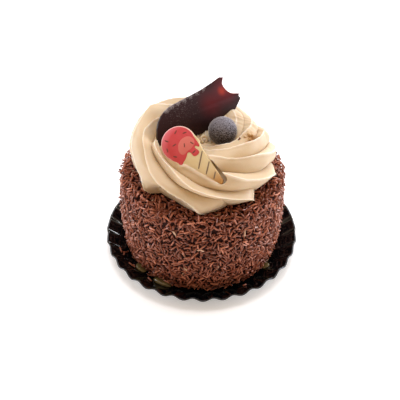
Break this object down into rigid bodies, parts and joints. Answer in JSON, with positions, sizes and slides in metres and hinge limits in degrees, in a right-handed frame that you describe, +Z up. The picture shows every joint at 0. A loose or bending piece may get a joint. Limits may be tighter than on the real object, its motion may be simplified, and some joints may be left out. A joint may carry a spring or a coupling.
{
  "type": "mocha ice cream cake",
  "caption": "Small round mocha ice cream cake coated with chocolate vermicelli, topped with swirled cream and chocolate pieces, on its fluted tray.",
  "frame": {"origin": "middle of the tray's underside, on the surface that the tray stands on", "axes": "+Z up; -Y towards the front of the cake, where the plaque leans; +X to the right as seen from the front"},
  "size_m": [0.1258, 0.1258, 0.1045],
  "materials": {
    "tray": "glossy black thermoformed plastic",
    "vermicelli": "milk chocolate vermicelli, satin, with dark gaps between the strands",
    "cream": "smooth piped mocha cream, soft sheen",
    "frosted_chocolate": "velvety grey-brown frost over dark chocolate",
    "white_chocolate": "moulded white chocolate with a pink-red printed scoop, satin",
    "dark_chocolate": "tempered dark chocolate, semi-gloss with a grey bloom"
  },
  "bodies": {
    "root": {"tray": "tray", "cake": "vermicelli", "cream": "cream", "ball": "frosted_chocolate", "plaque": "white_chocolate", "wafer": "dark_chocolate"}
  },
  "joints": []
}
